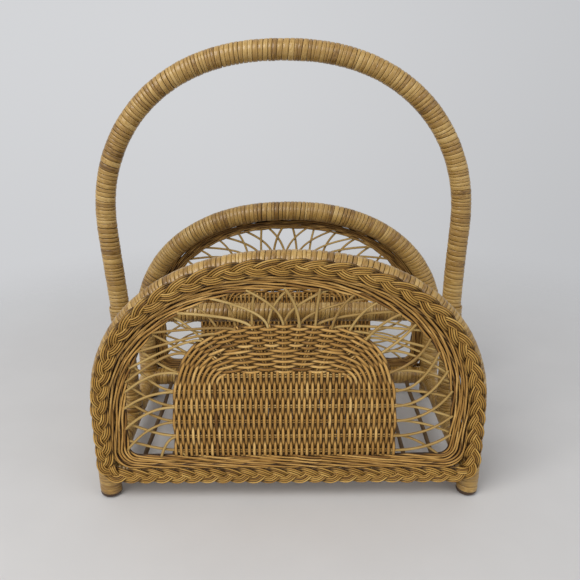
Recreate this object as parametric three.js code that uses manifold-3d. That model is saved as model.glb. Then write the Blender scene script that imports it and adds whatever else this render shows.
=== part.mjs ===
// Wicker magazine basket with two woven sides, a middle handle and a divider bar.
// Millimetres, +Z up, +X along the basket, -Y towards the front side.
import * as THREE from 'three';
import { mergeVertices } from 'three/addons/utils/BufferGeometryUtils.js';
import Module from 'manifold-3d';

const wasm = await Module();
wasm.setup();

// Driving sizes
const basketWidth = 400;
const hoopHeight = 267.8;
const hoopSpacing = 210.7;
const handleHeight = 453.5;
const poleDiameter = 19.2;
const slimDiameter = 17.6;
const rodDiameter = 4.8;
const caneThickness = 1.8;

// Clearances and the overrun of every cut
const fitGap = 0.3;
const overrun = 4;
const weldDistance = 1e-4;

// Hoops: straight legs up to legTop, then a squarish arch
const legTop = 96.5;
const hoopRoundnessShare = 2.23;

// Handle: legs that spread as they rise, and an arch that leans a little to the left
const handleInset = 1.8;
const handleSpread = 5.6;
const spreadStart = 150;
const spreadEnd = 330;
const handleLegTop = 256;
const handleLean = 4.5;
const handleRoundnessShare = 2.25;
const leanEnd = 262;

// Rails, divider bar and floor rods
const railHeight = 29.6;
const dividerHeight = 163.6;
const rodMargin = 31.3;
const rodPairs = 5;
const rodDrop = 5;
const rodSeat = 7;

// Feet: cane-bound ends of the hoop legs
const footHeight = 15;
const footSole = 3;
const footFlat = 7;
const footSwell = 0.4;
const footEdge = 4;

// Lashings: narrow cane bound over the wrapped handle legs
const lashingThickness = 1.4;
const lashingTurn = 4.5;
const barLashingTurns = 4;
const railLashingTurns = 6;
const turnDipShare = 0.35;

// Braid on the face of each hoop and bottom rail
const braidWidth = 14;
const braidThickness = 4;
const braidLobes = 64;
const braidWaistShare = 0.82;
const braidCrownShare = 0.6;
const braidCorner = 16;
const braidInset = 1;

// Woven panel between each hoop and its bottom rail
const panelOffset = 7.5;
const borderWidth = 16;
const borderWidthTop = 14.6;
const borderWidthLow = 12;
const borderThickness = 5;
const borderRows = 3;
const borderCorner = 20;
const rowDipShare = 0.5;

// Centre weave: straight columns under a horseshoe arch. Each weaver lies in front of every
// second stake, and its neighbours in front of the others
const centreRise = 140;
const centreShift = -4;
const centreRoundnessShare = 3.4;
const centreThickness = 5;
const horseshoeWidth = 48;
const crownWidth = 51;
const columnsRise = 18;
const columnsRoundnessShare = 3;
const weaveCrest = 3;
const weaveDip = 0.9;
const legRows = 5;
const legShare = 0.875;
const rowStartShare = 0.29;
const archStakes = 15;
const archCrowdShare = 0.25;
const horseshoeWeavers = 18;
const columnWeavers = 48;
const insideRidges = 2;

// Openwork between the centre weave and the border: two crossing layers of stakes, one
// curving each way
const openworkWidth = 50.4;
const openworkRise = 36.6;
const stakeThickness = 2.2;
const stakeCount = 21;
const stakeLayer = 0.8;
const stakeDrift = 40;
const stakeMargin = 8;
const stakeBendShare = 0.36;

// Facets
const poleSides = 8;
const rodSides = 6;
const stakeSteps = 3;
const hoopSteps = 20;
const handleSteps = 30;
const archSteps = 20;
const cornerSteps = 4;
const outlineSteps = 60;

// Radii and places that follow from the sizes above
const poleRadius = poleDiameter / 2;
const wrapRadius = poleRadius + fitGap + caneThickness;
const slimRadius = slimDiameter / 2;
const slimWrapRadius = slimRadius + fitGap + caneThickness;
const lashingRadius = slimWrapRadius + fitGap + lashingThickness;
const rodRadius = rodDiameter / 2;
const hoopReach = basketWidth / 2 - wrapRadius;
const hoopTop = hoopHeight - wrapRadius;
const hoopPlane = hoopSpacing / 2;
const panelPlane = hoopPlane + panelOffset;
const rodPitch = (hoopReach - rodMargin) / rodPairs;

// Rattan and cane, from the warm tan of the wrapped poles to the darker floor rods
const cane = { color: 0xc9a467, roughness: 0.55, metalness: 0 };
const pole = { color: 0xb58a50, roughness: 0.7, metalness: 0 };
const reed = { color: 0xc2995c, roughness: 0.65, metalness: 0 };
const rod = { color: 0x7a5a38, roughness: 0.7, metalness: 0 };

const basket = new THREE.Group();

function add(name, geometry, look) {
  const mesh = new THREE.Mesh(geometry, new THREE.MeshStandardMaterial(look));
  mesh.name = name;
  basket.add(mesh);
}

// Joining and cutting

function bare(geometry) {
  const positions = new THREE.BufferGeometry();
  positions.setAttribute('position', geometry.getAttribute('position').clone());
  if (geometry.index) positions.setIndex(geometry.index.clone());
  return mergeVertices(positions, weldDistance);
}

function toSolid(geometry) {
  const merged = bare(geometry);
  const vertProperties = new Float32Array(merged.getAttribute('position').array);
  const corners = Array.from(merged.index.array);
  const triVerts = [];
  for (let i = 0; i < corners.length; i += 3) {
    const [a, b, c] = corners.slice(i, i + 3);
    if (a !== b && b !== c && c !== a) triVerts.push(a, b, c);
  }
  return new wasm.Manifold(new wasm.Mesh({
    numProp: 3,
    vertProperties,
    triVerts: new Uint32Array(triVerts),
  }));
}

function fromSolid(solid) {
  const mesh = solid.getMesh();
  const geometry = new THREE.BufferGeometry();
  geometry.setAttribute('position', new THREE.BufferAttribute(new Float32Array(mesh.vertProperties), 3));
  geometry.setIndex(new THREE.BufferAttribute(new Uint32Array(mesh.triVerts), 1));
  return geometry;
}

function cut(geometry, cutters) {
  let solid = toSolid(geometry);
  for (const tool of cutters) solid = solid.subtract(toSolid(tool));
  return fromSolid(solid);
}

function fuse(geometries) {
  let solid = toSolid(geometries[0]);
  for (const geometry of geometries.slice(1)) solid = solid.add(toSolid(geometry));
  return solid;
}

// Paths

function smooth(value, start, end) {
  return THREE.MathUtils.smoothstep(value, start, end);
}

// Quarter points of a squarish arch: angle 0 is its right foot, PI its left foot
function archPoint(angle, reach, rise, roundness) {
  const along = Math.cos(angle);
  const up = Math.abs(Math.sin(angle));
  return {
    x: reach * Math.sign(along) * Math.abs(along) ** (2 / roundness),
    z: rise * up ** (2 / roundness),
  };
}

// Up the left leg, over the arch and down the right leg, in the plane y
class ArchPath extends THREE.Curve {
  constructor(sizes) {
    super();
    Object.assign(this, sizes);
    this.arcLengthDivisions = 800;
  }

  getPoint(share, target = new THREE.Vector3()) {
    const { reach, foot, leg, top, lean, spread, roundness, y } = this;
    const legShare = (leg - foot) / (2 * (leg - foot) + 2 * (top - leg) + 2 * reach);
    const side = share < 0.5 ? -1 : 1;
    const climb = Math.min(share, 1 - share);
    let x = side * reach;
    let z = foot + (leg - foot) * Math.min(climb / legShare, 1);
    if (climb > legShare) {
      const angle = (Math.PI / 2) * ((climb - legShare) / (0.5 - legShare));
      const point = archPoint(angle, reach, top - leg, roundness);
      x = side * point.x;
      z = leg + point.z;
    }
    x -= (x / reach) * spread * (1 - smooth(z, spreadStart, spreadEnd));
    x -= lean * smooth(z, railHeight, leanEnd);
    return target.set(x, y, z);
  }
}

function hoopPath(y) {
  return new ArchPath({
    reach: hoopReach,
    foot: 0,
    leg: legTop,
    top: hoopTop,
    lean: 0,
    spread: 0,
    roundness: hoopRoundnessShare,
    y,
  });
}

const handlePath = new ArchPath({
  reach: hoopReach - handleInset + handleSpread,
  foot: railHeight,
  leg: handleLegTop,
  top: handleHeight - slimWrapRadius,
  lean: handleLean,
  spread: handleSpread,
  roundness: handleRoundnessShare,
  y: 0,
});

// Solids lofted through rings of points

function capCorners(ring) {
  const origin = ring[0];
  const normal = new THREE.Vector3();
  ring.forEach((point, i) => {
    const next = ring[(i + 1) % ring.length];
    normal.add(new THREE.Vector3().crossVectors(point.clone().sub(origin), next.clone().sub(origin)));
  });
  const right = ring[1].clone().sub(origin).normalize();
  const up = new THREE.Vector3().crossVectors(normal.normalize(), right);
  const flat = ring.map((point) => {
    const from = point.clone().sub(origin);
    return new THREE.Vector2(from.dot(right), from.dot(up));
  });
  return THREE.ShapeUtils.triangulateShape(flat, []);
}

// ends 'capped' closes the first and last ring, ends 'joined' ties the last ring to the first.
// The diagonals alternate, so that they lie in the hollows of a weave
function loft(rings, ends) {
  const sides = rings[0].length;
  const positions = rings.flat().flatMap((point) => [point.x, point.y, point.z]);
  const corners = [];
  const spans = ends === 'joined' ? rings.length : rings.length - 1;
  for (let i = 0; i < spans; i += 1) {
    const here = i * sides;
    const there = ((i + 1) % rings.length) * sides;
    for (let j = 0; j < sides; j += 1) {
      const next = (j + 1) % sides;
      const [a, b, c, d] = [here + j, here + next, there + next, there + j];
      if ((i + j) % 2 === 0) corners.push(a, b, d, b, c, d);
      else corners.push(a, b, c, a, c, d);
    }
  }
  if (ends === 'capped') {
    const last = (rings.length - 1) * sides;
    for (const [a, b, c] of capCorners(rings[0])) corners.push(a, c, b);
    for (const [a, b, c] of capCorners(rings.at(-1))) corners.push(last + a, last + b, last + c);
  }
  const geometry = new THREE.BufferGeometry();
  geometry.setAttribute('position', new THREE.BufferAttribute(new Float32Array(positions), 3));
  geometry.setIndex(corners);
  if (volumeOf(geometry) < 0) geometry.setIndex(corners.reverse());
  return geometry;
}

function volumeOf(geometry) {
  const points = geometry.getAttribute('position');
  const corners = geometry.index.array;
  const [a, b, c] = [new THREE.Vector3(), new THREE.Vector3(), new THREE.Vector3()];
  let volume = 0;
  for (let i = 0; i < corners.length; i += 3) {
    a.fromBufferAttribute(points, corners[i]);
    b.fromBufferAttribute(points, corners[i + 1]);
    c.fromBufferAttribute(points, corners[i + 2]);
    volume += a.dot(b.cross(c)) / 6;
  }
  return volume;
}

// One ring round a flat path, square to it at a distance along it
function ringAt(path, distance, radius, sides) {
  const share = distance / path.getLength();
  const centre = path.getPointAt(share);
  const forward = path.getTangentAt(share);
  const across = new THREE.Vector3(0, 1, 0);
  const side = new THREE.Vector3().crossVectors(across, forward);
  return Array.from({ length: sides }, (_, i) => {
    const angle = (2 * Math.PI * i) / sides;
    return centre.clone()
      .addScaledVector(side, radius * Math.cos(angle))
      .addScaledVector(across, radius * Math.sin(angle));
  });
}

// A body turned round a path; the profile lists [distance, radius] and ends as in loft
function turned(path, profile, ends = 'capped', sides = poleSides) {
  return loft(profile.map(([distance, radius]) => ringAt(path, distance, radius, sides)), ends);
}

function stations(start, end, count) {
  return Array.from({ length: count + 1 }, (_, i) => start + ((end - start) * i) / count);
}

function sleeve(path, places, bore, radius) {
  const outside = places.map((place) => [place, radius]);
  const inside = places.map((place) => [place, bore]).reverse();
  return turned(path, [...outside, ...inside], 'joined');
}

// A cane lashing: rounded turns side by side round a path
function lashing(path, start, turns, bore) {
  const dip = bore + lashingThickness * (1 - turnDipShare);
  const crest = bore + lashingThickness;
  const outside = [[start, dip]];
  for (let i = 0; i < turns; i += 1) {
    outside.push([start + (i + 0.5) * lashingTurn, crest], [start + (i + 1) * lashingTurn, dip]);
  }
  const end = start + turns * lashingTurn;
  return turned(path, [...outside, [end, bore], [start, bore]], 'joined');
}

// A straight bar from one point to another, with any number of sides
function bar(from, to, radius, sides = poleSides) {
  const span = to.clone().sub(from);
  const geometry = new THREE.CylinderGeometry(radius, radius, span.length(), sides);
  const upright = new THREE.Vector3(0, 1, 0);
  geometry.applyQuaternion(new THREE.Quaternion().setFromUnitVectors(upright, span.normalize()));
  geometry.translate(...from.clone().add(to).multiplyScalar(0.5).toArray());
  return geometry;
}

function tube(from, to, bore, radius) {
  const over = to.clone().sub(from).setLength(overrun);
  return cut(bar(from, to, radius), [bar(from.clone().sub(over), to.clone().add(over), bore)]);
}

// Hoops with their wraps and feet

function hoopStations(path) {
  const end = path.getLength();
  const start = footHeight + fitGap;
  return [start, ...stations(legTop, end - legTop, hoopSteps), end - start];
}

function hoopCore(path) {
  const end = path.getLength();
  const places = [footSole + fitGap, ...hoopStations(path), end - footSole - fitGap];
  return turned(path, places.map((place) => [place, poleRadius]));
}

function foot(path, fromRightEnd) {
  const end = path.getLength();
  const swell = wrapRadius + footSwell;
  const profile = [
    [0, footFlat],
    [footEdge / 4, (footFlat + wrapRadius) / 2],
    [footEdge, wrapRadius],
    [footHeight / 2, swell],
    [footHeight, wrapRadius],
    [footHeight, poleRadius + fitGap],
    [footSole, poleRadius + fitGap],
  ];
  return turned(path, profile.map(([height, radius]) => [fromRightEnd ? end - height : height, radius]));
}

// Rails, divider bar and floor rods

function point(x, y, z) {
  return new THREE.Vector3(x, y, z);
}

function legCutter(x, y) {
  return bar(point(x, y, footHeight), point(x, y, legTop), wrapRadius + fitGap);
}

function railLine(y) {
  return [point(-hoopReach, y, railHeight), point(hoopReach, y, railHeight)];
}

function rodEnd(side) {
  return side * (hoopPlane - poleRadius + rodSeat);
}

function rodPlaces() {
  return Array.from({ length: 2 * rodPairs + 1 }, (_, i) => (i - rodPairs) * rodPitch);
}

function rodHoles(side) {
  const z = railHeight - rodDrop;
  return rodPlaces().map((x) => bar(
    point(x, side * (hoopPlane - wrapRadius - overrun), z),
    point(x, rodEnd(side) + side * fitGap, z),
    rodRadius + fitGap,
    rodSides,
  ));
}

function addLongRail(name, side) {
  const y = side * hoopPlane;
  const cutters = [legCutter(-hoopReach, y), legCutter(hoopReach, y), ...rodHoles(side)];
  const [from, to] = railLine(y);
  add(`${name}_bottom_rail`, cut(bar(from, to, poleRadius), cutters), pole);
  add(`${name}_bottom_rail_wrap`, cut(tube(from, to, poleRadius + fitGap, wrapRadius), cutters), cane);
}

function addSideRail(name, side) {
  const x = side * hoopReach;
  const from = point(x, -hoopPlane, railHeight);
  const to = point(x, hoopPlane, railHeight);
  const cutters = [legCutter(x, -hoopPlane), legCutter(x, hoopPlane)];
  for (const y of [-hoopPlane, hoopPlane]) cutters.push(bar(...railLine(y), wrapRadius + fitGap));
  add(`${name}_side_rail`, cut(bar(from, to, poleRadius), cutters), pole);
  add(`${name}_side_rail_wrap`, cut(tube(from, to, poleRadius + fitGap, wrapRadius), cutters), cane);
}

// Distance along the left leg of the handle at which it reaches a height
function handleDistance(height) {
  const whole = handlePath.getLength();
  let low = 0;
  let high = whole / 2;
  for (let i = 0; i < 40; i += 1) {
    const middle = (low + high) / 2;
    if (handlePath.getPointAt(middle / whole).z < height) low = middle;
    else high = middle;
  }
  return low;
}

function sideRailCutters() {
  return [-hoopReach, hoopReach].map((x) => bar(
    point(x, -hoopPlane, railHeight),
    point(x, hoopPlane, railHeight),
    wrapRadius + fitGap,
  ));
}

function addHandle() {
  const end = handlePath.getLength();
  const start = handleDistance(railHeight + wrapRadius / 2);
  const places = stations(start, end - start, handleSteps);
  const core = turned(handlePath, places.map((place) => [place, slimRadius]));
  add('handle', cut(core, sideRailCutters()), pole);
  const wrap = sleeve(handlePath, places, slimRadius + fitGap, slimWrapRadius);
  add('handle_wrap', cut(wrap, sideRailCutters()), cane);
}

function addLashings(name, onRightLeg) {
  const bore = slimWrapRadius + fitGap;
  const end = handlePath.getLength();
  const onLeg = (start, turns) => (onRightLeg ? end - start - turns * lashingTurn : start);
  const railStart = onLeg(handleDistance(railHeight + wrapRadius / 2), railLashingTurns);
  const railBound = lashing(handlePath, railStart, railLashingTurns, bore);
  add(`${name}_rail_lashing`, cut(railBound, sideRailCutters()), cane);
  const barMiddle = handleDistance(dividerHeight);
  const barStart = onLeg(barMiddle - (barLashingTurns * lashingTurn) / 2, barLashingTurns);
  add(`${name}_bar_lashing`, lashing(handlePath, barStart, barLashingTurns, bore), cane);
}

function addDivider() {
  const end = handlePath.getLength();
  const place = handleDistance(dividerHeight) / end;
  const from = point(handlePath.getPointAt(place).x, 0, dividerHeight);
  const to = point(handlePath.getPointAt(1 - place).x, 0, dividerHeight);
  const low = handleDistance(dividerHeight - slimWrapRadius - overrun);
  const high = handleDistance(dividerHeight + slimWrapRadius + overrun);
  const cutters = [[low, high], [end - high, end - low]].map(([start, stop]) => turned(
    handlePath,
    [[start, lashingRadius + fitGap], [stop, lashingRadius + fitGap]],
  ));
  add('divider_bar', cut(bar(from, to, slimRadius), cutters), pole);
  add('divider_bar_wrap', cut(tube(from, to, slimRadius + fitGap, slimWrapRadius), cutters), cane);
}

function addRods() {
  const z = railHeight - rodDrop;
  rodPlaces().forEach((x, i) => {
    const stick = bar(point(x, rodEnd(-1), z), point(x, rodEnd(1), z), rodRadius, rodSides);
    add(`floor_rod_${i + 1}`, stick, rod);
  });
}

// Braid: a flat band with lobes on alternate edges, laid on the face of the poles

// A closed loop: along the bottom, up the right leg, over the arch, down the left leg
function loopPoints({ reach, bottom, corner, leg, top, roundness }) {
  const points = [];
  const low = bottom + corner;
  points.push([-(reach - corner), bottom]);
  for (let i = 0; i <= cornerSteps; i += 1) {
    const angle = -Math.PI / 2 + (Math.PI / 2) * (i / cornerSteps);
    points.push([reach - corner + corner * Math.cos(angle), low + corner * Math.sin(angle)]);
  }
  for (let i = 0; i <= archSteps; i += 1) {
    const arch = archPoint((Math.PI * i) / archSteps, reach, top - leg, roundness);
    points.push([arch.x, leg + arch.z]);
  }
  for (let i = 0; i < cornerSteps; i += 1) {
    const angle = Math.PI + (Math.PI / 2) * (i / cornerSteps);
    points.push([-(reach - corner) + corner * Math.cos(angle), low + corner * Math.sin(angle)]);
  }
  return points.map(([x, z]) => new THREE.Vector2(x, z));
}

// Points at even distances round a closed loop
function evenly(points, count) {
  const loop = new THREE.CurvePath();
  points.forEach((from, i) => loop.add(new THREE.LineCurve(from, points[(i + 1) % points.length])));
  return Array.from({ length: count }, (_, i) => ({
    at: loop.getPoint(i / count),
    behind: loop.getPoint(((i + count - 0.5) % count) / count),
    ahead: loop.getPoint(((i + 0.5) % count) / count),
  }));
}

function braid(side) {
  const seat = wrapRadius + fitGap + braidThickness / 2;
  const path = loopPoints({
    reach: hoopReach,
    bottom: railHeight,
    corner: braidCorner,
    leg: legTop,
    top: hoopTop,
    roundness: hoopRoundnessShare,
  });
  const tilt = Math.asin(braidInset / seat);
  const rings = evenly(path, 2 * braidLobes).map(({ at, behind, ahead }, i) => {
    const forward = ahead.clone().sub(behind).normalize();
    const inward = new THREE.Vector3(-forward.y, 0, forward.x);
    const outward = new THREE.Vector3(0, side * Math.cos(tilt), 0).addScaledVector(inward, Math.sin(tilt));
    const width = new THREE.Vector3(0, -side * Math.sin(tilt), 0).addScaledVector(inward, Math.cos(tilt));
    const centre = point(at.x, side * hoopPlane, at.y).addScaledVector(outward, seat);
    const lobe = i % 2 === 0;
    const inner = (braidWidth / 2) * (lobe ? 1 : braidWaistShare);
    const outer = (braidWidth / 2) * (lobe ? braidWaistShare : 1);
    const lift = braidThickness / 2;
    const corner = (along, up) => centre.clone().addScaledVector(width, along).addScaledVector(outward, up);
    return [
      corner(inner, -lift),
      corner(inner * braidCrownShare, lift),
      corner(-outer * braidCrownShare, lift),
      corner(-outer, -lift),
    ];
  });
  return loft(rings, 'joined');
}

// Ribbons with rows across their width, between an outer and an inner line

// One face of a ribbon: shares across its width, and lifts off its middle plane
function ridgedFace(ridges, thickness) {
  const crest = thickness / 2;
  const dip = crest * (1 - rowDipShare);
  const face = [];
  for (let i = 0; i < ridges; i += 1) {
    if (i > 0) face.push([i / ridges, dip]);
    face.push([(i + 0.5) / ridges, crest]);
  }
  return face;
}

function wovenFace(weavers, crossing) {
  return Array.from({ length: weavers }, (_, i) => {
    const over = (i + crossing) % 2 === 0;
    return [(i + 0.5) / weavers, over ? weaveCrest : weaveDip];
  });
}

// Across the front face and back over the other
function closedProfile(front, behind) {
  return [[0, 0], ...front, [1, 0], ...behind.map(([share, lift]) => [share, -lift]).reverse()];
}

// Woven in front and broadly ridged behind; the end rings repeat the crossings next to them
function wovenProfile(weavers, ring, rings) {
  const crossing = THREE.MathUtils.clamp(ring - 1, 0, rings - 3);
  return closedProfile(wovenFace(weavers, crossing), ridgedFace(insideRidges, centreThickness));
}

function ribbon(outer, inner, side, profileAt, ends) {
  const rings = outer.map((from, i) => profileAt(i).map(([share, lift]) => {
    const at = from.clone().lerp(inner[i], share);
    return point(at.x, side * (panelPlane + lift), at.y);
  }));
  return loft(rings, ends);
}

function borderSeat() {
  const seat = wrapRadius + fitGap;
  return Math.sqrt(seat * seat - panelOffset * panelOffset);
}

function borderLoop(widthShare) {
  const seat = borderSeat();
  return loopPoints({
    reach: hoopReach - seat - borderWidth * widthShare,
    bottom: railHeight + seat + borderWidthLow * widthShare,
    corner: borderCorner - (borderCorner * widthShare) / 2,
    leg: legTop,
    top: hoopTop - seat - borderWidthTop * widthShare,
    roundness: hoopRoundnessShare,
  });
}

const centreReach = hoopReach - borderSeat() - borderWidth - openworkWidth;
const centreHeight = hoopTop - borderSeat() - borderWidthTop - openworkRise;
const centreFoot = railHeight + borderSeat() + borderWidthLow + fitGap;
const columnsReach = centreReach - horseshoeWidth;
const columnsHeight = centreHeight - crownWidth;
const rowPitch = (legShare * (columnsHeight - centreFoot)) / (legRows - 0.5 + rowStartShare);

// Rows of stakes fill the lower share of the columns' height, and go on up at the same pitch
function rowHeight(row) {
  return centreFoot + (row + rowStartShare) * rowPitch;
}

function polyline(points) {
  const line = new THREE.CurvePath();
  points.slice(1).forEach((to, i) => line.add(new THREE.LineCurve(points[i], to)));
  return line;
}

// Distance along an outline at which it first reaches a height
function climbTo(points, height) {
  let distance = 0;
  for (let i = 1; i < points.length; i += 1) {
    const [from, to] = points.slice(i - 1, i + 1);
    const step = to.distanceTo(from);
    if (to.y >= height) return distance + (step * (height - from.y)) / (to.y - from.y);
    distance += step;
  }
  return distance;
}

// The ends of an outline and the points where the stakes cross it: level with the rows on
// both legs, and closer together at the top of the arch between them
function crossings(points) {
  const line = polyline(points);
  const whole = line.getLength();
  const legEnd = climbTo(points, rowHeight(legRows - 0.5));
  const leg = [0];
  for (let i = 0; i < legRows; i += 1) leg.push(climbTo(points, rowHeight(i)));
  const arch = Array.from({ length: archStakes }, (_, i) => {
    const share = (i + 0.5) / archStakes;
    const crowd = (archCrowdShare * Math.sin(2 * Math.PI * share)) / (2 * Math.PI);
    return legEnd + (whole - 2 * legEnd) * (share + crowd);
  });
  const places = [...leg, ...arch, ...leg.map((place) => whole - place).reverse()];
  return places.map((place) => line.getPoint(place / whole));
}

// Open outline of an arched weave, from its left foot over the arch to its right foot
function archOutline(reach, top, rise, roundness, foot) {
  const points = [new THREE.Vector2(-reach, foot)];
  for (let i = 0; i <= outlineSteps; i += 1) {
    const arch = archPoint(Math.PI - (Math.PI * i) / outlineSteps, reach, rise, roundness);
    points.push(new THREE.Vector2(arch.x, top - rise + arch.z));
  }
  points.push(new THREE.Vector2(reach, foot));
  return crossings(points.map((at) => at.setX(at.x + centreShift)));
}

function centreOutline(clearance, foot) {
  const reach = centreReach + clearance;
  return archOutline(reach, centreHeight + clearance, centreRise, centreRoundnessShare, foot);
}

function columnsOutline(clearance, foot) {
  const reach = columnsReach - clearance;
  return archOutline(reach, columnsHeight - clearance, columnsRise, columnsRoundnessShare, foot);
}

function horseshoe(side) {
  const outer = centreOutline(0, centreFoot);
  const inner = columnsOutline(0, centreFoot);
  const profileAt = (ring) => wovenProfile(horseshoeWeavers, ring, outer.length);
  return ribbon(outer, inner, side, profileAt, 'capped');
}

// A plate in the panel plane, through its full thickness and the overrun
function plate(outline, side, depth) {
  const geometry = new THREE.ExtrudeGeometry(new THREE.Shape(outline), { depth, bevelEnabled: false });
  geometry.translate(0, 0, -depth / 2);
  geometry.rotateX(Math.PI / 2);
  geometry.translate(0, side * panelPlane, 0);
  return geometry;
}

function columns(side) {
  const reach = columnsReach - fitGap;
  const heights = [centreFoot];
  for (let row = 0; rowHeight(row) < columnsHeight; row += 1) heights.push(rowHeight(row));
  heights.push(columnsHeight);
  const edge = (x) => heights.map((height) => new THREE.Vector2(centreShift + x, height));
  const profileAt = (ring) => wovenProfile(columnWeavers, ring, heights.length);
  const stock = ribbon(edge(-reach), edge(reach), side, profileAt, 'capped');
  const outline = columnsOutline(fitGap, centreFoot - overrun);
  const clear = plate(outline, side, 2 * (weaveCrest + overrun));
  return fromSolid(toSolid(stock).intersect(toSolid(clear)));
}

// Openwork: stakes that leave the centre weave square to its edge and bend to the border

function stake(from, outward, to, y) {
  const reach = from.distanceTo(to) * stakeBendShare;
  const bend = from.clone().addScaledVector(outward, reach);
  const beyond = to.clone().addScaledVector(to.clone().sub(bend).normalize(), overrun);
  const path = new THREE.QuadraticBezierCurve3(
    point(from.x, y, from.y),
    point(bend.x, y, bend.y),
    point(beyond.x, y, beyond.y),
  );
  const half = stakeThickness / 2;
  const corners = [[-half, -half], [half, -half], [half, half], [-half, half]];
  const section = new THREE.Shape(corners.map(([across, up]) => new THREE.Vector2(across, up)));
  return new THREE.ExtrudeGeometry(section, { steps: stakeSteps, extrudePath: path, bevelEnabled: false });
}

function lattice(side) {
  const roots = polyline(centreOutline(0, centreFoot));
  const loop = borderLoop(1);
  const border = polyline([...loop, loop[0]]);
  const borderLength = border.getLength();
  const bottomLength = loop[1].distanceTo(loop[0]);
  const rootLength = roots.getLength();
  const stakes = [];
  for (let i = 0; i < stakeCount; i += 1) {
    const distance = stakeMargin + ((rootLength - 2 * stakeMargin) * i) / (stakeCount - 1);
    const root = roots.getPoint(distance / rootLength);
    const ahead = roots.getPoint((distance + fitGap) / rootLength);
    const outward = new THREE.Vector2(root.y - ahead.y, ahead.x - root.x).normalize();
    const inside = root.clone().addScaledVector(outward, -fitGap);
    const sweep = (borderLength - bottomLength) * (1 - distance / rootLength);
    for (const drift of [-stakeDrift, stakeDrift]) {
      const place = (bottomLength + sweep - drift + borderLength) % borderLength;
      const y = side * (panelPlane + Math.sign(-drift) * stakeLayer);
      stakes.push(stake(inside, outward, border.getPoint(place / borderLength), y));
    }
  }
  const depth = 2 * (stakeThickness + stakeLayer) + overrun;
  const room = plate(loop, side, depth);
  const centre = plate(centreOutline(fitGap, railHeight), side, depth + overrun);
  return fromSolid(fuse(stakes).intersect(toSolid(room)).subtract(toSolid(centre)));
}

// Each side of the basket

function addSide(name, side) {
  const path = hoopPath(side * hoopPlane);
  add(`${name}_hoop`, hoopCore(path), pole);
  add(`${name}_hoop_wrap`, sleeve(path, hoopStations(path), poleRadius + fitGap, wrapRadius), cane);
  add(`${name}_left_foot`, foot(path, false), cane);
  add(`${name}_right_foot`, foot(path, true), cane);
  addLongRail(name, side);
  add(`${name}_braid`, braid(side), reed);
  const row = ridgedFace(borderRows, borderThickness);
  const rows = ribbon(borderLoop(0), borderLoop(1), side, () => closedProfile(row, row), 'joined');
  add(`${name}_border_rows`, rows, reed);
  add(`${name}_horseshoe_weave`, horseshoe(side), reed);
  add(`${name}_column_weave`, columns(side), reed);
  add(`${name}_openwork`, lattice(side), reed);
}

addSide('front', -1);
addSide('back', 1);
addSideRail('left', -1);
addSideRail('right', 1);
addHandle();
addLashings('left', false);
addLashings('right', true);
addDivider();
addRods();

// The origin stands midway under the whole basket
basket.position.x = -new THREE.Box3().setFromObject(basket).getCenter(new THREE.Vector3()).x;

export default basket;
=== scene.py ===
# Wicker magazine basket: wrapped poles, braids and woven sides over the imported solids.
# Metres, +Z up, +X along the basket, -Y towards the front side.
import math

import bpy
import numpy as np
from mathutils import Matrix, Vector


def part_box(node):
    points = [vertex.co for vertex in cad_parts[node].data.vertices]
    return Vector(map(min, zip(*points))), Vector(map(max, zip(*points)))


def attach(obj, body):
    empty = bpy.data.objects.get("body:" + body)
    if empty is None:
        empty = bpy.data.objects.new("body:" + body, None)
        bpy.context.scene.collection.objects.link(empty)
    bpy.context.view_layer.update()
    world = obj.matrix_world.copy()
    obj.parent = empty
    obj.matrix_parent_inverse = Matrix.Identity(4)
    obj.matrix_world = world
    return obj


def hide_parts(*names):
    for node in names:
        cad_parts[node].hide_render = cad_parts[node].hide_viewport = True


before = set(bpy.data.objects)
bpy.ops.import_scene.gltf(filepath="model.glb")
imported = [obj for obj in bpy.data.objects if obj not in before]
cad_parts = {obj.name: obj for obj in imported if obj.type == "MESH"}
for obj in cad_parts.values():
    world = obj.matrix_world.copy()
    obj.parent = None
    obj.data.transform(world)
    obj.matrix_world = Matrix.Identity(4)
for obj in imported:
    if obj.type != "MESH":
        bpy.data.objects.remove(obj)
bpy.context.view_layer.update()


# Places and radii read from the frame

def middle(node):
    low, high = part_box(node)
    return (low + high) / 2


def half_depth(node):
    low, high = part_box(node)
    return (high.y - low.y) / 2


LEFT_FOOT = middle("front_left_foot")
RIGHT_FOOT = middle("front_right_foot")
SHIFT = (LEFT_FOOT.x + RIGHT_FOOT.x) / 2
HOOP_REACH = (RIGHT_FOOT.x - LEFT_FOOT.x) / 2
HOOP_PLANE = -middle("front_hoop_wrap").y
WRAP_RADIUS = half_depth("front_hoop_wrap")
HOOP_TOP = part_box("front_hoop_wrap")[1].z - WRAP_RADIUS
FOOT_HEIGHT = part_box("front_left_foot")[1].z
RAIL_HEIGHT = middle("front_bottom_rail").z
SLIM_RADIUS = half_depth("handle_wrap")
HANDLE_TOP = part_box("handle_wrap")[1].z - SLIM_RADIUS
BAR_LOW, BAR_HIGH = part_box("divider_bar_wrap")
BAR_HEIGHT = middle("divider_bar_wrap").z
PANEL_PLANE = -middle("front_border_rows").y
BORDER_LOW, BORDER_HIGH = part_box("front_border_rows")
BORDER_SEAT = HOOP_REACH - (BORDER_HIGH.x - BORDER_LOW.x) / 2
CENTRE_LOW, CENTRE_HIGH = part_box("front_horseshoe_weave")
CENTRE_REACH = (CENTRE_HIGH.x - CENTRE_LOW.x) / 2
CENTRE_MIDDLE = (CENTRE_HIGH.x + CENTRE_LOW.x) / 2 - SHIFT
CENTRE_TOP = CENTRE_HIGH.z
CENTRE_FOOT = CENTRE_LOW.z

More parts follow.
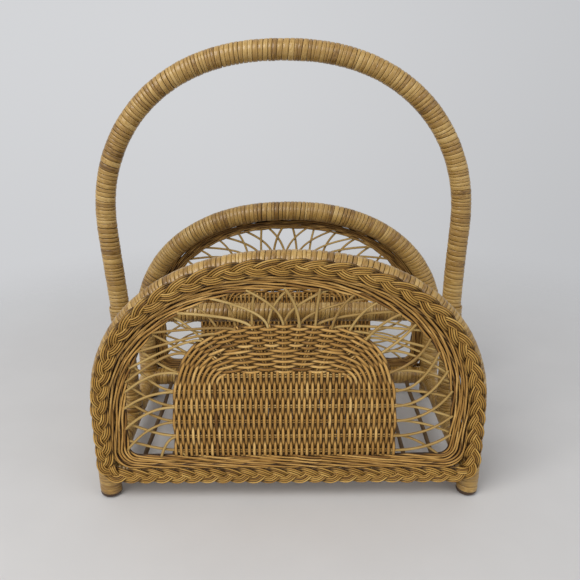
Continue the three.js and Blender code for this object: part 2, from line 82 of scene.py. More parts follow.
# Curves of the hoops and the handle: straight legs under a squarish arch. The handle's legs
# spread as they rise, and it leans a little to the left
HOOP_LEG = 0.0965
HOOP_ROUNDNESS = 2.23
HANDLE_INSET = 0.0018
HANDLE_SPREAD = 0.0056
SPREAD_RANGE = (0.15, 0.33)
HANDLE_LEG = 0.256
HANDLE_LEAN = 0.0045
LEAN_END = 0.262
HANDLE_ROUNDNESS = 2.25

# Flat cane wound round the poles: its pitch, how thick it is, how far under the wrap's outside
# the pole lies, and how far a turn can sit off it
CANE_PITCH = 0.0045
CANE_THICKNESS = 0.0011
CANE_DEPTH = 0.0015
CANE_SETTLE = 0.0003
LASHING_PITCH = 0.0042
FOOT_PITCH = 0.005

# Braid: three strands of thin reeds. A lobe is a third of a strand's wave; the snap makes the
# crossings steep. A shade is how dark a strand gets under another one, over the "under" range
BRAID_LOBE = 0.0158
BRAID_LOBE_TOP = 0.0215
BRAID_REEDS = 4
BRAID_REED_RADIUS = 0.00096
BRAID_REED_PITCH = 0.0021
BRAID_SWING = 0.0047
BRAID_SNAP = 0.9
BRAID_LIFT = 0.0016
BRAID_SEAT = 0.0023
BRAID_CORNER = 0.016
BRAID_INSET = 0.001
BRAID_SHADE = 0.7
BRAID_UNDER = (-0.1, 1.0)

# Border rows: four ropes of reed side by side just inside each hoop, over plain backing reeds.
# Places and swings are shares of the width of the rows
BORDER_WIDTH = 0.016
BORDER_WIDTH_TOP = 0.0146
BORDER_WIDTH_LOW = 0.012
BORDER_CORNER = 0.02
ROPE_REEDS = 3
ROPE_TWIST = 0.095
ROPE_PLACES = (0.06, 0.32, 0.58, 0.85)
ROPE_SEATS = (0.0026, 0.0004, 0.0, 0.0)
ROPE_SWING = 0.125
ROPE_LIFT = 0.0013
ROW_RADIUS = 0.00128
# Painted shade: how dark a rope's reed gets where it turns under the others, over the range below;
# the backing reeds take this shade on their outer side and the backing shade on their inner side.
ROPE_SHADE = 0.88
ROPE_UNDER = (-0.2, 1.0)
BACKING_SHADE = 0.5
BACKING_SHARES = (0.03, 0.20, 0.38, 0.56, 0.74, 0.91)
BACKING_LIFT = -0.0017

# Centre weave: arched weavers round upright ones, in front of and behind pairs of stakes
CENTRE_RISE = 0.14
CENTRE_ROUNDNESS = 3.4
ARCH_DEPTH = 0.048
CROWN_DEPTH = 0.051
COLUMN_RISE = 0.013
EASED_COLUMNS = 12
COLUMN_ROUNDNESS = 4.5
ARCH_WEAVERS = 18
OUTER_BAND_WEAVERS = 9
OUTER_STAKES = 15
OUTER_CROWD = 0.25
INNER_STAKES = 9
WEAVER_SWING = 0.002
WEAVER_RADIUS = 0.00175
WEAVER_SQUEEZE = 0.15
WEAVER_FLAT = 0.62
# Painted shade on a weaver where it passes behind a stake, over the range of its swing below.
WEAVER_SHADE = 0.62
FRONT_RANGE = (0.25, 0.75)
ROW_COUNT = 5
ROW_SHARE = 0.875
ROW_START = 0.29
STAKE_RADIUS = 0.00105
STAKE_PAIR = 0.0012

# Openwork: how far along the border the stakes run from straight across, down and up, for each
# root from the foot up, and the share of their way out at which they bend. Fans: the run of the
# stakes over the arch, and how much their ends move apart at the crown
OPEN_RADIUS = 0.00136
OPEN_LAYER = 0.0011
OPEN_DROPS = {
    "left": (0.064, 0.052, 0.032, 0.024, 0.018, 0.018),
    "right": (0.060, 0.030, 0.017, 0.013, 0.011, 0.010),
}
OPEN_CLIMBS = {
    "left": (0.0115, 0.015, 0.025, 0.027, 0.028, 0.030),
    "right": (0.021, 0.024, 0.032, 0.040, 0.045, 0.047),
}
OPEN_FANS = {"front": (0.040, 0.32), "back": (0.024, 0.08)}
OPEN_DROP_BEND = {"left": 0.50, "right": 0.42}
OPEN_CLIMB_BEND = {"left": 0.36, "right": 0.60}
OPEN_TOP_BEND = 0.50
OPEN_END = 0.9
OPEN_TUCK = 0.004

# Facets: sides round a strand or a turn of cane, and the number or spacing of points along it
REED_SIDES = 8
STAKE_SIDES = 6
ROD_SIDES = 14
CANE_SIDES = 22
SOLE_SIDES = 32
SOLE_STEPS = 9
LEG_STEPS = 60
ARCH_STEPS = 361
CORNER_STEPS = 16
STRAIGHT_STEPS = 80
CENTRE_STEPS = (20, 220)
WARP_STEPS = 400
ROD_STEPS = 60
OPEN_STEPS = 26
RADIAL_STEPS = 8
BRAID_STEP = 0.0019
ROW_STEP = 0.003
WEAVER_STEP = 0.0018
COLUMN_STEP = 0.0016

# Unevenness of the handwork: drifts are a span and an amount, ripples are waves round the basket
# and an amount, and spreads are the least and the greatest share of a size
COVER_DRIFT = (0.9, 0.012)
SETTLE_DRIFT = (0.8, CANE_SETTLE * 0.35)
TILT_DRIFT = (0.9, CANE_SETTLE * 0.4)
ROD_BOW = (0.05, 0.0004)
ROD_SWELL = (0.02, 0.03)
COLUMN_DRIFT = (0.03, 0.00018)
CROSS_DRIFT = (0.03, 0.00015)
OPEN_DRIFT = (0.5, 0.0002)
OPEN_STRAY = 0.0012
BRAID_SWELL = (5, 0.06)
BRAID_STRAY = (9, 0.0001)
BRAID_BULGE = (14, 0.00018)
ROPE_SWAY = (4, 0.35)
BACKING_SWAY = (7, 0.03)
ROW_SPREAD = (0.92, 1.06)
WEAVER_SPREAD = (0.96, 1.04)
OPEN_SPREAD = (0.92, 1.08)

# Tones: 0 is the darkest reed and 1 the palest, as a middle and a deviation, a drift or ripple
# along a strand, or a range
MID_TONE = 0.5
CANE_TONE_DRIFT = (0.7, 0.24)
BRAID_TONES = (MID_TONE, 0.24)
BRAID_FADE = (7, 0.08)
ROW_TONES = (MID_TONE, 0.2)
ROW_FADE = (6, 0.10)
ARCH_TONES = (MID_TONE, 0.13)
ARCH_TONE_DRIFT = (0.03, 0.12)
COLUMN_TONES = (MID_TONE, 0.10)
COLUMN_TONE_DRIFT = (0.03, 0.11)
OPEN_TONES = (0.52, 0.15)
OPEN_TONE_LEAST = 0.05
RADIAL_TONES = (0.3, 0.9)
CROSS_TONES = (0.4, 1.0)
ROD_TONES = (0.3, 0.7)

# Seeds of the random draws; the side or the end is added
SEEDS = {
    "hoop": 10, "rail": 20, "side_rail": 30, "handle": 41, "foot": 50, "lashing": 60,
    "divider": 71, "braid": 80, "border": 90, "horseshoe": 100, "columns": 110,
    "openwork": 120, "rod": 200,
}


# Small number helpers

def unit(vectors):
    return vectors / np.linalg.norm(vectors, axis=-1, keepdims=True)


def joined(*columns):
    return np.stack(columns, axis=-1)


def between(first, second, share):
    return first + (second - first) * share


def smooth(value, start, end):
    share = np.clip((value - start) / (end - start), 0, 1)
    return share * share * (3 - 2 * share)


def wander(rng, distance, drift):
    """A slow random drift along a distance: a new value about every span, blended between."""
    span, amount = drift
    count = int(np.ptp(distance) / span) + 4
    knots = np.linspace(distance.min() - span, distance.max() + span, count)
    values = rng.normal(0, amount, count)
    share = np.clip((distance[:, None] - knots[None, :]) / (knots[1] - knots[0]), -1, 1)
    weight = 0.5 + 0.5 * np.cos(np.pi * share)
    return (weight * values[None, :]).sum(axis=1)


def ripple(whole, wave, shift):
    """A slow wave on a closed loop; whole is the turn round the loop in radians."""
    waves, amount = wave
    return amount * np.sin(waves * whole + shift)


# Lines that are read by the distance along them

FORWARD_REACH = 0.001


class Line:
    def __init__(self, points, closed=False):
        points = np.asarray(points, float)
        self.closed = closed
        self.points = np.vstack([points, points[:1]]) if closed else points
        steps = np.linalg.norm(np.diff(self.points, axis=0), axis=1)
        self.marks = np.concatenate([[0.0], np.cumsum(steps)])
        self.length = self.marks[-1]

    def at(self, distance):
        distance = np.asarray(distance, float)
        if self.closed:
            distance = np.mod(distance, self.length)
        return joined(*(np.interp(distance, self.marks, column) for column in self.points.T))

    def forward(self, distance):
        return unit(self.at(distance + FORWARD_REACH) - self.at(distance - FORWARD_REACH))

    def find(self, axis, value, from_end=False):
        """Distance of the first, or the last, point at which a coordinate passes a value."""
        passed = np.nonzero(np.diff(np.sign(self.points[:, axis] - value)))[0]
        index = passed[-1] if from_end else passed[0]
        low, high = self.points[index, axis], self.points[index + 1, axis]
        share = (value - low) / (high - low)
        return self.marks[index] + share * (self.marks[index + 1] - self.marks[index])


def arch(angle, reach, rise, roundness):
    """Half of a rounded rectangle: an ellipse at roundness 2, squarer above that."""
    across = np.cos(angle)
    up = np.abs(np.sin(angle))
    x = reach * np.sign(across) * np.abs(across) ** (2 / roundness)
    return x, rise * up ** (2 / roundness)


def bent_pole(reach, foot, leg, top, roundness, leg_steps=LEG_STEPS, arch_steps=ARCH_STEPS):
    """Up the left leg, over the arch and down the right leg, in x and z."""
    x, z = arch(np.pi * (1 - np.linspace(0, 1, arch_steps)), reach, top - leg, roundness)
    climb = np.linspace(foot, leg, leg_steps)[:-1]
    side = np.full_like(climb, reach)
    return np.concatenate([-side, x, side]), np.concatenate([climb, leg + z, climb[::-1]])


def in_hoop(x, z, side):
    """Points of the upright plane of a hoop."""
    return joined(SHIFT + x, np.full_like(x, side * HOOP_PLANE), z)


def hoop_line(side):
    return Line(in_hoop(*bent_pole(HOOP_REACH, 0, HOOP_LEG, HOOP_TOP, HOOP_ROUNDNESS), side))


def handle_line():
    reach = HOOP_REACH - HANDLE_INSET + HANDLE_SPREAD
    x, z = bent_pole(reach, RAIL_HEIGHT, HANDLE_LEG, HANDLE_TOP, HANDLE_ROUNDNESS)
    x = x - x / reach * HANDLE_SPREAD * (1 - smooth(z, *SPREAD_RANGE))
    x = SHIFT + x - HANDLE_LEAN * smooth(z, RAIL_HEIGHT, LEAN_END)
    return Line(joined(x, np.zeros_like(x), z))


def straight(start, end):
    return Line(np.linspace(start, end, STRAIGHT_STEPS))


def loop_points(reach, bottom, corner, leg, top, roundness):
    """A closed loop in x and z: along the bottom, up the right, over the arch, down the left."""
    turn = np.linspace(-np.pi / 2, 0, CORNER_STEPS)
    right_x = reach - corner + corner * np.cos(turn)
    right_z = bottom + corner + corner * np.sin(turn)
    arch_x, arch_z = arch(np.linspace(0, np.pi, ARCH_STEPS), reach, top - leg, roundness)
    x = np.concatenate([right_x, arch_x, -right_x[::-1]])
    z = np.concatenate([right_z, leg + arch_z, right_z[::-1]])
    return joined(x, z)


# Strands: rings of points along a reed or a strip of cane

class Strand:
    """Rings of points, with a tone for each ring, and the edge: how much painted shade each point
    takes, for lying in the crevices between strands.
    """

    def __init__(self, rings, tone, edge, closed=False):
        self.rings = rings
        self.tone = np.broadcast_to(tone, len(rings))
        self.edge = np.broadcast_to(edge, rings.shape[:2])
        self.closed = closed


# Heights on a reed between which its shade goes over from the lower side's to the upper side's
TURN_OVER = (-0.7, 0.7)


def reed(points, radius, facing, tone, closed=False, flat=1.0, under=(0.0, 0.0), sides=REED_SIDES):
    """A round or oval reed along points; facing is the direction that its broad side looks, and
    under is the painted shade it takes where it lies below its neighbours, seen from there and
    seen from behind."""
    if closed:
        step = np.roll(points, -1, axis=0) - np.roll(points, 1, axis=0)
    else:
        step = np.gradient(points, axis=0)
    forward = unit(step)
    across = unit(np.cross(forward, np.broadcast_to(facing, points.shape)))
    up = np.cross(across, forward)
    radius = np.broadcast_to(radius, len(points))[:, None, None]
    angle = -np.pi / 2 + 2 * np.pi * np.arange(sides) / sides
    wide = across[:, None] * np.cos(angle)[None, :, None]
    thick = flat * up[:, None] * np.sin(angle)[None, :, None]
    rings = points[:, None] + radius * (wide + thick)
    # Painted shade in the edge mark: on a side that lies below neighbours, and at the sides, where
    # reeds lie against each other.
    above, below = [np.broadcast_to(value, len(points))[:, None] for value in under]
    depth = between(below, above, smooth(np.sin(angle), *TURN_OVER)[None, :])
    beside = np.abs(np.cos(angle))[None, :] ** 2
    return Strand(rings, tone, 1 - (1 - beside) * (1 - depth), closed)


def mesh_of(name, strands):
    """One mesh of many strands; U is the length along each and V the share of the way round."""
    points, faces, caps, uvs, tones, edges = [], [], [], [], [], []
    first = 0
    for strand in strands:
        count, sides = strand.rings.shape[:2]
        spans = count if strand.closed else count - 1
        centres = strand.rings.mean(axis=1)
        steps = np.linalg.norm(np.diff(np.vstack([centres, centres[:1]]), axis=0), axis=1)
        along = np.concatenate([[0.0], np.cumsum(steps)])
        ring = np.repeat(np.arange(spans), sides)
        place = np.tile(np.arange(sides), spans)
        after = (place + 1) % sides
        here, beyond = ring * sides, (ring + 1) % count * sides
        faces.append(first + joined(here + place, here + after, beyond + after, beyond + place))
        low, high = along[ring], along[ring + 1]
        near, far = place / sides, (place + 1) / sides
        uvs.append(joined(low, near, low, far, high, far, high, near).reshape(-1, 2))
        points.append(strand.rings.reshape(-1, 3))
        tones.append(np.repeat(strand.tone, sides))
        edges.append(strand.edge.ravel())
        if not strand.closed:
            caps.append(first + np.arange(sides)[::-1])
            caps.append(first + (count - 1) * sides + np.arange(sides))
        first += count * sides
    # The edge mark holds each point's painted shade.
    marks = {"tone": np.concatenate(tones), "edge": np.concatenate(edges)}
    return build_mesh(name, np.vstack(points), np.vstack(faces), caps, np.vstack(uvs), marks)


def build_mesh(name, points, faces, caps, uvs, marks):
    mesh = bpy.data.meshes.new(name)
    mesh.vertices.add(len(points))
    mesh.vertices.foreach_set("co", points.astype(np.float32).ravel())
    sizes = np.concatenate([np.full(len(faces), 4), [len(cap) for cap in caps]]).astype(np.int32)
    corners = np.concatenate([faces.ravel(), *caps]).astype(np.int32)
    starts = np.concatenate([[0], np.cumsum(sizes)[:-1]]).astype(np.int32)
    mesh.loops.add(len(corners))
    mesh.loops.foreach_set("vertex_index", corners)
    mesh.polygons.add(len(sizes))
    mesh.polygons.foreach_set("loop_start", starts)
    mesh.polygons.foreach_set("loop_total", sizes)
    mesh.polygons.foreach_set("use_smooth", sizes == 4)
    layer = mesh.uv_layers.new(name="UVMap")
    spare = np.zeros((len(corners) - len(uvs), 2))
    layer.data.foreach_set("uv", np.vstack([uvs, spare]).astype(np.float32).ravel())
    for key, values in marks.items():
        attribute = mesh.attributes.new(key, "FLOAT", "POINT")
        attribute.data.foreach_set("value", values.astype(np.float32))
    mesh.update(calc_edges=True)
    mesh.validate()
    return mesh


def add_object(name, data):
    made = bpy.data.objects.new(name, data)
    bpy.context.scene.collection.objects.link(made)
    return made


def add_piece(name, strands, material, node):
    """A piece of the basket that stands for its CAD node."""
    piece = add_object(name, mesh_of(name, strands))
    piece.data.materials.append(material)
    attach(piece, "root")
    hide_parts(node)


# Materials

# How far apart the fibre patterns of strands lie, the depth of the relief, the heights between
# which the roughness changes, and the scale and detail of stains and grain
STRAND_APART = 23.0
RELIEF_DEPTH = 0.0005
RELIEF_RANGE = (0.25, 0.75)
COAT_ROUGHNESS = 0.26
NOISE_ROUGHNESS = 0.6
STAINS = (26.0, 2.0)
POLE_STAINS = (30.0, 2.0)
POLE_GRAIN = (320.0, 4.0)
POLE_MIX = (0.5, 0.5)


def node_of(tree, kind, **values):
    node = tree.nodes.new(kind)
    for key, value in values.items():
        setattr(node, key, value)
    return node


def set_inputs(node, **values):
    for key, value in values.items():
        node.inputs[key.replace("_", " ")].default_value = value


def combine(tree, operation, first, second):
    """Two sockets, or a socket and a number, through one sum or product."""
    node = node_of(tree, "ShaderNodeMath", operation=operation)
    for socket, value in zip(node.inputs, (first, second)):
        if isinstance(value, (int, float)):
            socket.default_value = value
        else:
            tree.links.new(value, socket)
    return node.outputs[0]


def remap(tree, value, low, high, to_low, to_high):
    node = node_of(tree, "ShaderNodeMapRange", interpolation_type="SMOOTHSTEP")
    set_inputs(node, From_Min=low, From_Max=high, To_Min=to_low, To_Max=to_high)
    tree.links.new(value, node.inputs["Value"])
    return node.outputs["Result"]


def ramp(tree, factor, stops):
    node = node_of(tree, "ShaderNodeValToRGB")
    elements = node.color_ramp.elements
    while len(elements) < len(stops):
        elements.new(0.5)
    for element, (position, colour) in zip(elements, stops):
        element.position = position
        element.color = (*colour, 1)
    tree.links.new(factor, node.inputs["Fac"])
    return node.outputs["Color"]


def blended(tree, values, shares):
    """The sum of the values, each times its share."""
    parts = [combine(tree, "MULTIPLY", value, share) for value, share in zip(values, shares)]
    total = parts[0]
    for part in parts[1:]:
        total = combine(tree, "ADD", total, part)
    return total


def tinted(tree, colour, tint):
    node = node_of(tree, "ShaderNodeVectorMath", operation="MULTIPLY")
    tree.links.new(colour, node.inputs[0])
    tree.links.new(tint, node.inputs[1])
    return node.outputs[0]


def noise(tree, vector, scale, detail=3.0):
    node = node_of(tree, "ShaderNodeTexNoise")
    set_inputs(node, Scale=scale, Detail=detail, Roughness=NOISE_ROUGHNESS)
    tree.links.new(vector, node.inputs["Vector"])
    return node.outputs["Fac"]


def stretched(tree, along, around, tone):
    """Fibre coordinates: long along the strand, fine across it, and different on each strand."""
    layer = node_of(tree, "ShaderNodeUVMap", uv_map="UVMap")
    split = node_of(tree, "ShaderNodeSeparateXYZ")
    tree.links.new(layer.outputs["UV"], split.inputs[0])
    join = node_of(tree, "ShaderNodeCombineXYZ")
    tree.links.new(combine(tree, "MULTIPLY", split.outputs["X"], along), join.inputs["X"])
    tree.links.new(combine(tree, "MULTIPLY", split.outputs["Y"], around), join.inputs["Y"])
    tree.links.new(combine(tree, "MULTIPLY", tone, STRAND_APART), join.inputs["Z"])
    return join.outputs[0]


def finish_surface(tree, colour, height, rough, bump, gloss, coat):
    """The shader's sockets; rough is the roughness of the low and of the high places."""
    shader = tree.nodes["Principled BSDF"]
    tree.links.new(colour, shader.inputs["Base Color"])
    tree.links.new(remap(tree, height, *RELIEF_RANGE, *rough), shader.inputs["Roughness"])
    relief = node_of(tree, "ShaderNodeBump")
    set_inputs(relief, Strength=bump, Distance=RELIEF_DEPTH)
    tree.links.new(height, relief.inputs["Height"])
    tree.links.new(relief.outputs["Normal"], shader.inputs["Normal"])
    set_inputs(shader, Specular_IOR_Level=gloss, Coat_Weight=coat, Coat_Roughness=COAT_ROUGHNESS)


def new_material(name):
    material = bpy.data.materials.new(name)
    material.use_nodes = True
    return material, material.node_tree


def strand_material(
    name, stops, crevice_shade, along=60.0, around=7.0, rough=(0.42, 0.66), bump=0.5, gloss=0.3,
    coat=0.05, mix=(0.40, 0.44, 0.16),
):
    """Rattan with fibres along each strand, a tone of its own, slow stains and painted shade in
    the crevices between strands; mix is the share of tone, fibres and stains."""
    material, tree = new_material(name)
    tone = node_of(tree, "ShaderNodeAttribute", attribute_name="tone").outputs["Fac"]
    edge = node_of(tree, "ShaderNodeAttribute", attribute_name="edge").outputs["Fac"]
    fibres = noise(tree, stretched(tree, along, around, tone), 1.0)
    place = node_of(tree, "ShaderNodeTexCoord").outputs["Object"]
    stains = noise(tree, place, *STAINS)
    # Painted shade: the colour is tinted towards dark as the edge mark rises from low to high.
    low, high, dark = crevice_shade
    shade = ramp(tree, edge, [(low, (1.0, 1.0, 1.0)), (high, dark)])
    blend = blended(tree, (tone, fibres, stains), mix)
    colour = tinted(tree, ramp(tree, blend, stops), shade)
    finish_surface(tree, colour, fibres, rough, bump, gloss, coat)
    return material


def pole_material(name, stops):
    """Bare rattan pole: fine grain and slow stains, in object space."""
    material, tree = new_material(name)
    place = node_of(tree, "ShaderNodeTexCoord").outputs["Object"]
    grain = noise(tree, place, *POLE_GRAIN)
    stains = noise(tree, place, *POLE_STAINS)
    colour = ramp(tree, blended(tree, (grain, stains), POLE_MIX), stops)
    finish_surface(tree, colour, grain, rough=(0.55, 0.8), bump=0.4, gloss=0.3, coat=0.0)
    return material


# In each material, the three values after the ramp stops are the edge marks between which the
# painted shade sets in, and its tint at full shade.
CANE = strand_material(
    "cane",
    [(0.28, (0.12, 0.056, 0.009)), (0.42, (0.31, 0.169, 0.038)), (0.56, (0.455, 0.278, 0.075)),
     (0.74, (0.64, 0.44, 0.174))],
    crevice_shade=(0.52, 0.97, (0.12, 0.08, 0.05)), along=22.0, around=9.0, rough=(0.30, 0.50),
    bump=0.45, gloss=0.5, coat=0.25, mix=(0.30, 0.58, 0.12),
)
REED = strand_material(
    "reed",
    [(0.27, (0.19, 0.083, 0.013)), (0.42, (0.40, 0.205, 0.044)), (0.56, (0.58, 0.325, 0.085)),
     (0.73, (0.86, 0.57, 0.21))],
    crevice_shade=(0.27, 0.88, (0.08, 0.052, 0.03)),
)
OPEN_REED = strand_material(
    "open_reed",
    [(0.26, (0.20, 0.108, 0.028)), (0.42, (0.35, 0.212, 0.06)), (0.56, (0.46, 0.302, 0.098)),
     (0.74, (0.62, 0.445, 0.18))],
    crevice_shade=(0.45, 1.0, (0.55, 0.48, 0.40)),
)
BRAID_REED = strand_material(
    "braid_reed",
    [(0.27, (0.175, 0.079, 0.011)), (0.42, (0.35, 0.18, 0.031)), (0.56, (0.51, 0.284, 0.06)),
     (0.73, (0.74, 0.475, 0.134))],
    crevice_shade=(0.25, 0.90, (0.08, 0.05, 0.03)), around=6.0,
)
ROD = strand_material(
    "rod",
    [(0.28, (0.045, 0.026, 0.012)), (0.44, (0.105, 0.062, 0.028)), (0.58, (0.17, 0.105, 0.05)),
     (0.74, (0.28, 0.18, 0.095))],
    crevice_shade=(0.90, 1.0, (0.9, 0.9, 0.9)), rough=(0.5, 0.75), bump=0.4, coat=0.0,
)
POLE = pole_material(
    "pole",
    [(0.25, (0.07, 0.038, 0.014)), (0.50, (0.14, 0.08, 0.032)), (0.75, (0.24, 0.15, 0.065))],
)


# Wrapped poles

# A turn of cane in section: places across it, its height there, and how much painted shade it
# takes there towards the seam. Then the widths of the turns, how much of its pitch a turn covers,
# and the seams between turns: the range of their painted shade, the share that stand open, and
# the gap at an open one
TURN_SHARES = np.array([0.0, 0.04, 0.14, 0.50, 0.86, 0.96, 1.0])
TURN_CROWN = np.array([0.0, 0.72, 0.93, 1.0, 0.93, 0.72, 0.0])
TURN_EDGE_SHADE = np.array([1.0, 0.70, 0.25, 0.0, 0.25, 0.70, 1.0])
TURN_SPREAD = 0.30
TURN_LIMITS = (0.50, 1.80)
COVER = 0.985
COVER_LIMITS = (0.84, 1.0)
SEAM_RANGE = (0.50, 0.82)
OPEN_SEAMS = 0.16
SEAM_GAP = 0.07


def wind(line, start, end, bore, across, seed, pitch=CANE_PITCH, gaping=OPEN_SEAMS):
    """Flat cane wound round a pole: uneven turns side by side, with here a gap, there an
    overlap, and painted shade in the seams; gaping is the share of seams that stand open."""
    rng = np.random.default_rng(seed)
    turns = max(2, int(round((end - start) / pitch)))
    widths = np.clip(rng.normal(1, TURN_SPREAD, turns + 1), *TURN_LIMITS)
    marks = np.concatenate([[0.0], np.cumsum(widths)])
    marks = start + (end - start) * marks / marks[turns]
    turn = np.linspace(0, turns - 1, (turns - 1) * CANE_SIDES + 1)
    whole = np.arange(turns + 2)
    low = np.interp(turn, whole, marks)
    pace = np.interp(turn + 1, whole, marks) - low
    gapes = np.where(rng.random(turns + 2) < gaping, 1.0, 0.0)
    gaps = np.interp(turn, whole, SEAM_GAP * gapes)
    cover = np.clip(COVER + wander(rng, turn, COVER_DRIFT) - gaps, *COVER_LIMITS)
    places = low[:, None] + pace[:, None] * cover[:, None] * TURN_SHARES[None, :]
    settle = np.clip(CANE_SETTLE * 0.5 + wander(rng, turn, SETTLE_DRIFT), 0, CANE_SETTLE)
    tilt = wander(rng, turn, TILT_DRIFT)[:, None] * (TURN_SHARES[None, :] - 0.5)
    radius = bore + settle[:, None] + TURN_CROWN[None, :] * CANE_THICKNESS + tilt
    angle = -2 * np.pi * turn
    forward = line.forward(places)
    side = np.cross(np.broadcast_to(across, forward.shape), forward)
    cosine, sine = np.cos(angle)[:, None, None], np.sin(angle)[:, None, None]
    ring = side * cosine + np.asarray(across) * sine
    tone = np.clip(MID_TONE + wander(rng, turn, CANE_TONE_DRIFT), 0, 1)
    # Painted shade in the seams: each turn darker towards its edges, fully so at an open seam.
    seams = np.interp(turn, whole, np.maximum(rng.uniform(*SEAM_RANGE, turns + 2), gapes))
    return Strand(line.at(places) + ring * radius[..., None], tone, seams[:, None] * TURN_EDGE_SHADE)


def trimmed(strand, hidden):
    """Pieces of a strand, without the rings that lie wholly inside a neighbouring pole."""
    keep = ~hidden(strand.rings).all(axis=1)
    edges = np.flatnonzero(np.diff(np.concatenate([[0], keep.astype(int), [0]])))
    parts = []
    for first, last in zip(edges[::2], edges[1::2]):
        if last - first > 2:
            part = slice(first, last)
            parts.append(Strand(strand.rings[part], strand.tone[part], strand.edge[part]))
    return parts


def in_leg(x, side):
    """A test for points inside the wrapped leg at x."""
    def hidden(points):
        away = np.hypot(points[..., 0] - x, points[..., 1] - side * HOOP_PLANE)
        return away < WRAP_RADIUS - CANE_THICKNESS
    return hidden


BORE = WRAP_RADIUS - CANE_DEPTH
SLIM_BORE = SLIM_RADIUS - CANE_DEPTH
ACROSS_Y = np.array([0.0, 1.0, 0.0])
ACROSS_X = np.array([1.0, 0.0, 0.0])
SIDES = (("front", -1), ("back", 1))
ENDS = (("left", -1), ("right", 1))


def add_hoop(name, side):
    line = hoop_line(side)
    end = line.length - FOOT_HEIGHT
    wrap = wind(line, FOOT_HEIGHT, end, BORE, ACROSS_Y, SEEDS["hoop"] + side)
    add_piece(f"{name}_hoop_cane", [wrap], CANE, f"{name}_hoop_wrap")
    for which, direction in ENDS:
        seed = SEEDS["foot"] + 2 * side + direction
        add_foot(f"{name}_{which}_foot", SHIFT + direction * HOOP_REACH, side, seed)


# A foot's cane starts at the top of the rounded sole and ends a few turns up under the hoop's
SOLE_HEIGHT = 0.0042
SOLE_FLAT = 0.0062
SOLE_INSET = 0.0006
FOOT_START = SOLE_HEIGHT * 0.8
FOOT_END = FOOT_HEIGHT + 2.4 * CANE_PITCH


def turned(profile, x, y):
    """A turned body standing at x, y; the profile lists height and radius."""
    angle = 2 * np.pi * np.arange(SOLE_SIDES) / SOLE_SIDES
    ring_x, ring_y = np.cos(angle), np.sin(angle)
    rings = [
        joined(x + radius * ring_x, y + radius * ring_y, np.full(SOLE_SIDES, height))
        for height, radius in profile
    ]
    # Every point of the sole takes the cane's full painted crevice shade, so it is dark all over.
    return Strand(np.array(rings), MID_TONE, np.ones(SOLE_SIDES))


def add_foot(node, x, side, seed):
    """The bound end of a leg: a rounded sole, and cane from there to under the hoop's wrap."""
    y = side * HOOP_PLANE
    edge = WRAP_RADIUS - SOLE_INSET - SOLE_FLAT
    dome = [(0.0, SOLE_INSET), (0.0, SOLE_FLAT)]
    for angle in np.linspace(0, np.pi / 2, SOLE_STEPS)[1:]:
        dome.append((SOLE_HEIGHT * (1 - math.cos(angle)), SOLE_FLAT + edge * math.sin(angle)))
    dome.append((FOOT_HEIGHT, BORE))
    line = straight((x, y, 0.0), (x, y, HOOP_LEG))
    bore = BORE - CANE_SETTLE
    wrap = wind(line, FOOT_START, FOOT_END, bore, ACROSS_Y, seed, FOOT_PITCH, gaping=0)
    add_piece(f"{node}_cane", [turned(dome, x, y), wrap], CANE, node)


RAIL_START = 0.004
HANDLE_START = RAIL_HEIGHT + WRAP_RADIUS * 0.5
LASHING_START = RAIL_HEIGHT + WRAP_RADIUS * 0.6
ROD_COUNT = 11


def add_rail(name, legs, across, seed, node):
    """Cane round a rail from one leg to another, without what lies inside them."""
    line = straight(*[(x, side * HOOP_PLANE, RAIL_HEIGHT) for x, side in legs])
    parts = [wind(line, RAIL_START, line.length - RAIL_START, BORE, across, seed)]
    for leg in legs:
        parts = [piece for part in parts for piece in trimmed(part, in_leg(*leg))]
    add_piece(name, parts, CANE, node)


def add_rails():
    left, right = SHIFT - HOOP_REACH, SHIFT + HOOP_REACH
    for name, side in SIDES:
        legs = ((left, side), (right, side))
        seed = SEEDS["rail"] + side
        add_rail(f"{name}_rail_cane", legs, ACROSS_Y, seed, f"{name}_bottom_rail_wrap")
    for name, direction in ENDS:
        x = SHIFT + direction * HOOP_REACH
        legs = ((x, -1), (x, 1))
        seed = SEEDS["side_rail"] + direction
        add_rail(f"{name}_side_rail_cane", legs, ACROSS_X, seed, f"{name}_side_rail_wrap")


def add_handle():
    line = handle_line()
    start = line.find(2, HANDLE_START)
    wrap = wind(line, start, line.length - start, SLIM_BORE, ACROSS_Y, SEEDS["handle"])
    add_piece("handle_cane", [wrap], CANE, "handle_wrap")
    for name, direction in ENDS:
        for what in ("rail", "bar"):
            node = f"{name}_{what}_lashing"
            low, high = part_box(node)
            heights = (max(low.z, LASHING_START), high.z)
            ends = sorted(line.find(2, height, direction > 0) for height in heights)
            seed = SEEDS["lashing"] + direction
            lashing = wind(line, *ends, SLIM_RADIUS, ACROSS_Y, seed, LASHING_PITCH)
            add_piece(f"{node}_cane", [lashing], CANE, node)


def add_divider():
    line = straight((BAR_LOW.x, 0, BAR_HEIGHT), (BAR_HIGH.x, 0, BAR_HEIGHT))
    wrap = wind(line, 0.0, line.length, SLIM_BORE, ACROSS_Y, SEEDS["divider"])
    add_piece("divider_bar_cane", [wrap], CANE, "divider_bar_wrap")


def add_rods():
    for index in range(1, ROD_COUNT + 1):
        node = f"floor_rod_{index}"
        low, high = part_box(node)
        centre = (low + high) / 2
        rng = np.random.default_rng(SEEDS["rod"] + index)
        y = np.linspace(low.y, high.y, ROD_STEPS)
        x = centre.x + wander(rng, y, ROD_BOW)
        points = joined(x, y, np.full_like(y, centre.z))
        radius = (high.z - low.z) / 2 * (1 + wander(rng, y, ROD_SWELL))
        rod = reed(points, radius, (0.0, 0.0, 1.0), rng.uniform(*ROD_TONES), sides=ROD_SIDES)
        add_piece(f"{node}_round", [rod], ROD, node)


# Braid on the face of each hoop and bottom rail

